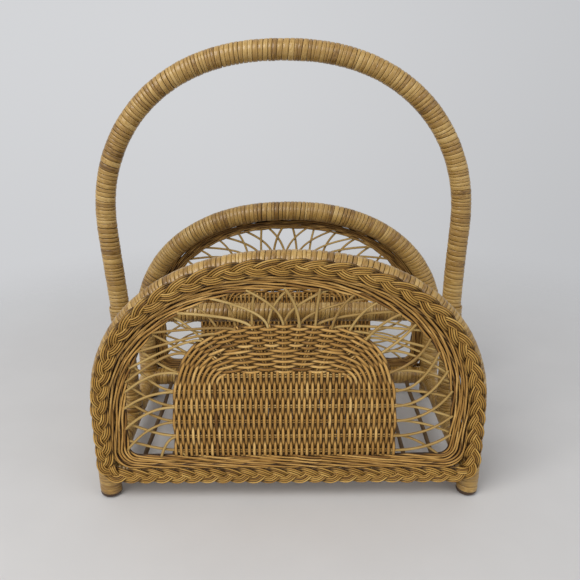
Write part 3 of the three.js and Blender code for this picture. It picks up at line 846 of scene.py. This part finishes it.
def braid_frame(line, distance, side):
    """Places on the pole's centre line, and the directions out of it and across the braid."""
    at = line.at(distance)
    forward = line.forward(distance)
    inward = joined(-forward[..., 2], np.zeros(len(at)), forward[..., 0])
    seat = WRAP_RADIUS + BRAID_SEAT
    tilt = math.asin(BRAID_INSET / seat)
    out = np.array([0.0, side, 0.0])
    outward = out * math.cos(tilt) + inward * math.sin(tilt)
    width = inward * math.cos(tilt) - out * math.sin(tilt)
    return at + outward * seat, outward, width


def add_braid(name, side):
    """Three strands of reeds side by side, which swing across the band a third of a wave apart,
    rise where they cross over, and dip and take painted shade where they pass under."""
    rng = np.random.default_rng(SEEDS["braid"] + side)
    flat = loop_points(HOOP_REACH, RAIL_HEIGHT, BRAID_CORNER, HOOP_LEG, HOOP_TOP, HOOP_ROUNDNESS)
    line = Line(in_hoop(*flat.T, side), closed=True)
    count = int(line.length / BRAID_STEP)
    distance = np.arange(count) * line.length / count
    whole = 2 * np.pi * distance / line.length
    lobe = between(BRAID_LOBE, BRAID_LOBE_TOP, smooth(line.at(distance)[:, 2], HOOP_LEG, HOOP_TOP))
    turns = np.cumsum(line.length / count / (3 * lobe))
    turns = turns * round(turns[-1]) / turns[-1]
    strands = []
    for third in range(3):
        phase = 2 * np.pi * (third / 3 - turns)
        swing = np.tanh(BRAID_SNAP * np.sin(phase)) / math.tanh(BRAID_SNAP)
        offset = BRAID_SWING * (1 + ripple(whole, BRAID_SWELL, third)) * swing
        slope = np.gradient(offset, distance)
        normal = unit(joined(-slope, np.ones(count)))
        lift = BRAID_LIFT * np.sin(2 * phase)
        # Painted shade on the outer side where the strand passes under another; none on the side
        # against the pole.
        depth = BRAID_SHADE * smooth(-np.sin(2 * phase), *BRAID_UNDER)
        for index in range(BRAID_REEDS):
            spread = (index - (BRAID_REEDS - 1) / 2) * BRAID_REED_PITCH
            spread = spread + ripple(whole, BRAID_STRAY, 5 * index + third)
            bulge = lift + ripple(whole, BRAID_BULGE, 3 * index)
            at, outward, width = braid_frame(line, distance + spread * normal[:, 0], side)
            across = offset + spread * normal[:, 1]
            points = at + width * across[:, None] + outward * bulge[:, None]
            tone = np.clip(rng.normal(*BRAID_TONES) + ripple(whole, BRAID_FADE, index), 0, 1)
            under = (depth, 0.0)
            strands.append(reed(points, BRAID_REED_RADIUS, outward, tone, closed=True, under=under))
    add_piece(f"{name}_braided_reed", strands, BRAID_REED, f"{name}_braid")


# Woven sides

def in_panel(x, z, lift, side):
    """Points of a woven side, lifted outwards from its middle plane."""
    y = side * (PANEL_PLANE + np.broadcast_to(lift, np.shape(x)))
    return joined(SHIFT + x, y, z)


def border_loop(share):
    """A loop round the woven side: share 0 lies along the pole and 1 along the openwork."""
    return loop_points(
        HOOP_REACH - BORDER_SEAT - BORDER_WIDTH * share,
        RAIL_HEIGHT + BORDER_SEAT + BORDER_WIDTH_LOW * share,
        BORDER_CORNER * (1 - share / 2),
        HOOP_LEG,
        HOOP_TOP - BORDER_SEAT - BORDER_WIDTH_TOP * share,
        HOOP_ROUNDNESS,
    )


def add_border(name, side):
    """Ropes of reed side by side, each of reeds that turn about one another, over plain reeds.
    The outer rope lies in the step up to the braid. Reeds take painted shade where they turn
    under the others, and the plain reeds behind the ropes."""
    rng = np.random.default_rng(SEEDS["border"] + side)
    outer, inner = border_loop(0), border_loop(1)
    guide = Line(np.insert((outer + inner) / 2, 1, 0.0, axis=1), closed=True)
    count = int(guide.length / ROW_STEP)
    distance = np.arange(count) * guide.length / count
    whole = 2 * np.pi * distance / guide.length
    marks, round_trip = guide.marks[:-1], guide.length
    sides = []
    for loop in (outer, inner):
        columns = [np.interp(distance, marks, column, period=round_trip) for column in loop.T]
        sides.append(joined(*columns))
    tracks = []
    for rope, (place, seat) in enumerate(zip(ROPE_PLACES, ROPE_SEATS)):
        rounds = round(guide.length / ROPE_TWIST) + rope
        for index in range(ROPE_REEDS):
            turn = rounds * whole + 2 * np.pi * index / ROPE_REEDS + rope
            turn = turn + ripple(whole, ROPE_SWAY, 2 * index)
            # Painted shade on the side where the reed turns under the others.
            under = [ROPE_SHADE * smooth(sign * np.sin(turn), *ROPE_UNDER) for sign in (-1, 1)]
            share = place + ROPE_SWING * np.cos(turn)
            tracks.append((share, seat + ROPE_LIFT * np.sin(turn), under))
    for place in BACKING_SHARES:
        share = place + ripple(whole, BACKING_SWAY, 9 * place)
        tracks.append((share, BACKING_LIFT, (ROPE_SHADE, BACKING_SHADE)))
    strands = []
    for share, lift, under in tracks:
        flat = sides[0] + (sides[1] - sides[0]) * share[:, None]
        points = in_panel(flat[:, 0], flat[:, 1], lift, side)
        tone = rng.normal(*ROW_TONES)
        tone = np.clip(tone + ripple(whole, ROW_FADE, 9 * rng.random()), 0, 1)
        radius = ROW_RADIUS * rng.uniform(*ROW_SPREAD)
        strands.append(reed(points, radius, (0.0, side, 0.0), tone, closed=True, under=under))
    add_piece(f"{name}_twined_rows", strands, REED, f"{name}_border_rows")


# Outlines and rows of the centre weave
CENTRE_SPRING = CENTRE_TOP - CENTRE_RISE
COLUMN_TOP = CENTRE_TOP - CROWN_DEPTH
COLUMN_REACH = CENTRE_REACH - ARCH_DEPTH
ROW_PITCH = ROW_SHARE * (COLUMN_TOP - CENTRE_FOOT) / (ROW_COUNT - 0.5 + ROW_START)
ROW_FIRST = CENTRE_FOOT + ROW_START * ROW_PITCH
LEG_END = ROW_FIRST + (ROW_COUNT - 0.5) * ROW_PITCH


def centre_line(share):
    """The path of a horseshoe weaver; share 0 is the outer edge and 1 the edge of the columns."""
    reach = between(CENTRE_REACH, COLUMN_REACH, share)
    top = between(CENTRE_TOP, COLUMN_TOP, share)
    spring = between(CENTRE_SPRING, COLUMN_TOP - COLUMN_RISE, share)
    roundness = between(CENTRE_ROUNDNESS, COLUMN_ROUNDNESS, share)
    x, z = bent_pole(reach, CENTRE_FOOT, spring, top, roundness, *CENTRE_STEPS)
    return Line(joined(x + CENTRE_MIDDLE, np.zeros_like(x), z))


def warp(share, amount):
    """Moves even shares apart in the middle and together at both ends."""
    return share - amount * np.sin(2 * np.pi * share) / (2 * np.pi)


def weave_phase(line, distance, stakes, crowd):
    """Half turns of weave up to a distance: one for each row of a leg and stake of the arch."""
    leg_left = line.find(2, LEG_END)
    leg_right = line.find(2, LEG_END, from_end=True)
    share = np.clip((distance - leg_left) / (leg_right - leg_left), 0, 1)
    rows_left = (np.minimum(line.at(distance)[:, 2], LEG_END) - ROW_FIRST) / ROW_PITCH
    rows = np.where(distance < leg_left, rows_left, ROW_COUNT - 0.5)
    phase = rows + stakes * warp(share, crowd)
    return phase + np.where(distance > leg_right, ROW_COUNT - 0.5 - rows_left, 0)


def weaver(points_flat, phase, index, side, rng, tone):
    """A weaver that passes in front of every second stake, and is squeezed thinner behind it. It
    takes painted shade on its outer side where it passes behind, and on its inner side in front.
    """
    swing = WEAVER_SWING * np.cos(np.pi * (phase + index))
    front = 0.5 + 0.5 * np.cos(np.pi * (phase + index))
    squeeze = 1 - WEAVER_SQUEEZE + WEAVER_SQUEEZE * front
    radius = WEAVER_RADIUS * squeeze * rng.uniform(*WEAVER_SPREAD)
    points = in_panel(points_flat[:, 0], points_flat[:, -1], swing, side)
    above = smooth(front, *FRONT_RANGE)
    under = (WEAVER_SHADE * (1 - above), WEAVER_SHADE * above)
    return reed(points, radius, (0.0, side, 0.0), tone, flat=WEAVER_FLAT, under=under)


def add_horseshoe(name, side):
    """Weavers that run up, over and down. Over the arch the outer ones cross more stakes than
    the inner ones."""
    rng = np.random.default_rng(SEEDS["horseshoe"] + side)
    strands = []
    for index in range(ARCH_WEAVERS):
        line = centre_line((index + 0.5) / ARCH_WEAVERS)
        outer = index < OUTER_BAND_WEAVERS
        distance = np.linspace(0, line.length, int(line.length / WEAVER_STEP))
        stakes, crowd = (OUTER_STAKES, OUTER_CROWD) if outer else (INNER_STAKES, 0.0)
        phase = weave_phase(line, distance, stakes, crowd)
        tone = np.clip(rng.normal(*ARCH_TONES) + wander(rng, distance, ARCH_TONE_DRIFT), 0, 1)
        strands.append(weaver(line.at(distance), phase, index, side, rng, tone))
    strands += radial_stakes(side, rng)
    add_piece(f"{name}_horseshoe_reed", strands, REED, f"{name}_horseshoe_weave")


def arch_place(share, along, crowd):
    """A point of the arch at a share of its depth and a share of the way over it."""
    line = centre_line(share)
    left = line.find(2, LEG_END)
    right = line.find(2, LEG_END, from_end=True)
    table = np.linspace(0, 1, WARP_STEPS)
    even = np.interp(along, warp(table, crowd), table)
    return line.at(left + (right - left) * even)


def radial_stakes(side, rng):
    """Pairs of stakes that fan out under the weavers of the arch, in an outer and an inner band."""
    split = OUTER_BAND_WEAVERS / ARCH_WEAVERS
    bands = ((OUTER_STAKES, OUTER_CROWD, 0.0, split), (INNER_STAKES, 0.0, split, 1.0))
    strands = []
    for count, crowd, first, last in bands:
        for index in range(count):
            ends = [arch_place(share, (index + 0.5) / count, crowd) for share in (first, last)]
            across = unit(np.cross(ends[1] - ends[0], ACROSS_Y))
            for shift in (-1, 1):
                track = np.linspace(*ends, RADIAL_STEPS) + across * shift * STAKE_PAIR
                points = in_panel(track[:, 0], track[:, 2], 0.0, side)
                strands.append(stake(points, side, rng.uniform(*RADIAL_TONES)))
    return strands


def stake(points, side, tone):
    return reed(points, STAKE_RADIUS, (0.0, side, 0.0), tone, sides=STAKE_SIDES)


def add_columns(name, side):
    """Upright weavers under the arch. One is left out on the right, so that the last of them
    alternates with the arch's leg beside it, and those next to it spread to fill its room."""
    rng = np.random.default_rng(SEEDS["columns"] + side)
    count = round(2 * COLUMN_REACH * ARCH_WEAVERS / ARCH_DEPTH)
    eased = count - EASED_COLUMNS
    crown = centre_line(1.0).points
    strands = []
    for index in range(count - 1):
        place = np.interp(index + 0.5, (0, eased, count - 1), (0, eased, count))
        x = CENTRE_MIDDLE - COLUMN_REACH + place * 2 * COLUMN_REACH / count
        top = np.interp(x, crown[:, 0], crown[:, 2]) + WEAVER_RADIUS
        z = np.linspace(CENTRE_FOOT, top, int((top - CENTRE_FOOT) / COLUMN_STEP))
        flat = joined(x + wander(rng, z, COLUMN_DRIFT), z)
        tone = np.clip(rng.normal(*COLUMN_TONES) + wander(rng, z, COLUMN_TONE_DRIFT), 0, 1)
        phase = (z - ROW_FIRST) / ROW_PITCH
        strands.append(weaver(flat, phase, index + ARCH_WEAVERS, side, rng, tone))
    strands += cross_stakes(side, rng)
    add_piece(f"{name}_column_reed", strands, REED, f"{name}_column_weave")


def cross_stakes(side, rng):
    """Level pairs of stakes through the columns, and all but the topmost through the legs too."""
    strands = []
    for row in range(ROW_COUNT + 1):
        reach = CENTRE_REACH if row < ROW_COUNT else COLUMN_REACH
        x = np.linspace(-reach, reach, STRAIGHT_STEPS) + CENTRE_MIDDLE
        for shift in (-1, 1):
            z = ROW_FIRST + row * ROW_PITCH + shift * STAKE_PAIR + wander(rng, x, CROSS_DRIFT)
            points = in_panel(x, z, 0.0, side)
            strands.append(stake(points, side, rng.uniform(*CROSS_TONES)))
    return strands


# Openwork between the centre weave and the border

ROOT_STEP = 0.004


def stake_roots(border, crowd):
    """Where the stakes leave the centre weave, from its left foot to its right foot: the place,
    the direction outward, and the distance along the border that lies opposite."""
    heights = [ROW_FIRST + row * ROW_PITCH for row in range(ROW_COUNT)]
    left, right = CENTRE_MIDDLE - CENTRE_REACH, CENTRE_MIDDLE + CENTRE_REACH
    roots = [((left, z), (-1.0, 0.0), border.find(2, z, True)) for z in heights]
    first, last = border.find(2, LEG_END, True), border.find(2, LEG_END)
    for index in range(OUTER_STAKES):
        along = (index + 0.5) / OUTER_STAKES
        at = arch_place(0.0, along, OUTER_CROWD)
        step = unit(arch_place(0.0, along + ROOT_STEP, OUTER_CROWD) - at)
        opposite = between(first, last, warp(along, crowd))
        roots.append(((at[0], at[2]), (-step[2], step[0]), opposite))
    return roots + [((right, z), (1.0, 0.0), border.find(2, z)) for z in reversed(heights)]


def add_openwork(name, side):
    """From each root one stake bends towards the foot and one towards the crown; over the arch
    the back side's stand steeper than the front's, and their ends closer together."""
    rng = np.random.default_rng(SEEDS["openwork"] + side)
    border = Line(np.insert(border_loop(OPEN_END), 1, 0.0, axis=1), closed=True)
    top_drift, crowd = OPEN_FANS[name]
    roots = stake_roots(border, crowd)
    strands = []
    for index, (root, outward, opposite) in enumerate(roots):
        half = "left" if index < len(roots) / 2 else "right"
        order = min(index, len(roots) - 1 - index, ROW_COUNT)
        for family in (-1, 1):
            drifts, bends = OPEN_CLIMBS, OPEN_CLIMB_BEND
            if (family > 0) == (half == "left"):
                drifts, bends = OPEN_DROPS, OPEN_DROP_BEND
            drift = between(drifts[half][order], top_drift, outward[1] ** 2)
            bend = between(bends[half], OPEN_TOP_BEND, outward[1] ** 2)
            target = border.at(opposite + family * drift + rng.normal(0, OPEN_STRAY))[[0, 2]]
            strands.append(open_stake(root, outward, target, bend, family, side, rng))
    add_piece(f"{name}_open_stakes", strands, OPEN_REED, f"{name}_openwork")


def open_stake(root, outward, target, bend, family, side, rng):
    """A stake that leaves the weave square to its edge and bends away to the border; family is
    the layer it lies in, -1 or 1."""
    root, outward = np.array(root), np.array(outward)
    inside = root - outward * OPEN_TUCK
    bend = root + outward * np.dot(target - root, outward) * bend
    share = np.linspace(0, 1, OPEN_STEPS)[:, None]
    flat = inside * (1 - share) ** 2 + 2 * bend * share * (1 - share) + target * share ** 2
    lift = family * OPEN_LAYER + wander(rng, share[:, 0], OPEN_DRIFT)
    points = in_panel(flat[:, 0], flat[:, 1], lift, side)
    tone = np.clip(rng.normal(*OPEN_TONES), OPEN_TONE_LEAST, 1)
    return reed(points, OPEN_RADIUS * rng.uniform(*OPEN_SPREAD), (0.0, side, 0.0), tone)


# Camera, light and floor

# The camera was solved from the outline in the photograph; its angles are in radians
CAMERA_PLACE = (SHIFT + 0.002851, -0.69124, 0.43841)
CAMERA_PITCH = 0.34502
CAMERA_YAW = -0.00113
CAMERA_ROLL = -0.00544
CAMERA_LENS = 40.785
SENSOR_WIDTH = 36
CLIP_START = 0.01


def add_camera():
    data = bpy.data.cameras.new("camera")
    data.sensor_width = SENSOR_WIDTH
    data.lens = CAMERA_LENS
    data.clip_start = CLIP_START
    camera = add_object("camera", data)
    cos_pitch, sin_pitch = math.cos(CAMERA_PITCH), math.sin(CAMERA_PITCH)
    cos_yaw, sin_yaw = math.cos(CAMERA_YAW), math.sin(CAMERA_YAW)
    forward = Vector((sin_yaw * cos_pitch, cos_yaw * cos_pitch, -sin_pitch))
    right = Vector((cos_yaw, -sin_yaw, 0))
    up = right.cross(forward)
    rolled_right = right * math.cos(CAMERA_ROLL) + up * math.sin(CAMERA_ROLL)
    rolled_up = up * math.cos(CAMERA_ROLL) - right * math.sin(CAMERA_ROLL)
    turn = Matrix((rolled_right, rolled_up, -forward)).transposed()
    camera.matrix_world = Matrix.Translation(CAMERA_PLACE) @ turn.to_4x4()
    bpy.context.scene.camera = camera


def add_light(name, place, size, power, colour):
    """A square lamp that looks at the middle of the basket."""
    data = bpy.data.lights.new(name, "AREA")
    data.size = size
    data.energy = power
    data.color = colour
    light = add_object(name, data)
    light.location = place
    light.rotation_euler = (Vector(LIGHT_AIM) - Vector(place)).to_track_quat("-Z", "Y").to_euler()


# The floor, its fade, and the backdrop's gradients from left to right and upward, a painted
# shade that darkens it to the right and below
FLOOR_RADIUS = 4.0
FLOOR_SIDES = 96
FADE_RANGE = (0.36, 0.95)
FLOOR_NOISE = (9.0, 4.0)
FLOOR_TONES = [(0.3, (0.640, 0.630, 0.626)), (0.7, (0.665, 0.655, 0.651))]
BACKDROP_COLOUR = (0.612, 0.619, 0.636, 1)
BACKDROP_ACROSS = (-0.2, 0.6, 1.04, 0.86)
BACKDROP_UPWARD = (-0.35, 0.05, 0.965, 1.03)
WORLD_COLOUR = (0.95, 0.97, 1.0, 1)
WORLD_LIGHT = 0.48

# Each lamp's name, place, size, power and colour
LAMPS = (
    ("key", (-0.85, -1.1, 1.55), 1.1, 23.5, (1.0, 0.985, 0.96)),
    ("fill", (1.3, -1.0, 1.2), 1.2, 6, (0.96, 0.98, 1.0)),
)
LIGHT_AIM = (0, 0, 0.15)


def add_floor():
    """A pale disc that fades into the backdrop away from the basket."""
    bpy.ops.mesh.primitive_circle_add(
        vertices=FLOOR_SIDES, radius=FLOOR_RADIUS, fill_type="NGON",
    )
    floor = bpy.context.object
    floor.name = "floor"
    material, tree = new_material("floor")
    shader = tree.nodes["Principled BSDF"]
    place = node_of(tree, "ShaderNodeTexCoord").outputs["Object"]
    colour = ramp(tree, noise(tree, place, *FLOOR_NOISE), FLOOR_TONES)
    tree.links.new(colour, shader.inputs["Base Color"])
    set_inputs(shader, Roughness=0.8, Specular_IOR_Level=0.2)
    far = node_of(tree, "ShaderNodeVectorMath", operation="LENGTH")
    tree.links.new(place, far.inputs[0])
    fade = remap(tree, far.outputs["Value"], *FADE_RANGE, 1.0, 0.0)
    tree.links.new(fade, shader.inputs["Alpha"])
    floor.data.materials.append(material)


def seen_directly(tree):
    """1 for the camera's own rays and for rays that gloss or glass sends on, 0 for light."""
    path = node_of(tree, "ShaderNodeLightPath")
    seen = combine(tree, "ADD", path.outputs["Is Camera Ray"], path.outputs["Is Glossy Ray"])
    return combine(tree, "ADD", seen, path.outputs["Is Transmission Ray"])


def add_world():
    """Even light, and behind the floor a pale backdrop with painted shade, a little darker to the
    right and below.
    """
    world = bpy.data.worlds.new("studio")
    bpy.context.scene.world = world
    world.use_nodes = True
    tree = world.node_tree
    split = node_of(tree, "ShaderNodeSeparateXYZ")
    tree.links.new(node_of(tree, "ShaderNodeTexCoord").outputs["Generated"], split.inputs[0])
    across = remap(tree, split.outputs["X"], *BACKDROP_ACROSS)
    upward = remap(tree, split.outputs["Z"], *BACKDROP_UPWARD)
    backdrop = tree.nodes["Background"]
    set_inputs(backdrop, Color=BACKDROP_COLOUR)
    tree.links.new(combine(tree, "MULTIPLY", across, upward), backdrop.inputs["Strength"])
    lit = node_of(tree, "ShaderNodeBackground")
    set_inputs(lit, Color=WORLD_COLOUR, Strength=WORLD_LIGHT)
    mix = node_of(tree, "ShaderNodeMixShader")
    tree.links.new(seen_directly(tree), mix.inputs["Fac"])
    tree.links.new(lit.outputs["Background"], mix.inputs[1])
    tree.links.new(backdrop.outputs["Background"], mix.inputs[2])
    tree.links.new(mix.outputs["Shader"], tree.nodes["World Output"].inputs["Surface"])


def add_stage():
    add_floor()
    add_world()
    for lamp in LAMPS:
        add_light(*lamp)
    bpy.context.scene.view_settings.view_transform = "Standard"


add_camera()
add_stage()
for basket_side in SIDES:
    for add in (add_hoop, add_braid, add_border, add_horseshoe, add_columns, add_openwork):
        add(*basket_side)
add_rails()
add_handle()
add_divider()
add_rods()
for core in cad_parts.values():
    if not core.hide_render:
        core.data.materials.clear()
        core.data.materials.append(POLE)

bpy.context.view_layer.update()
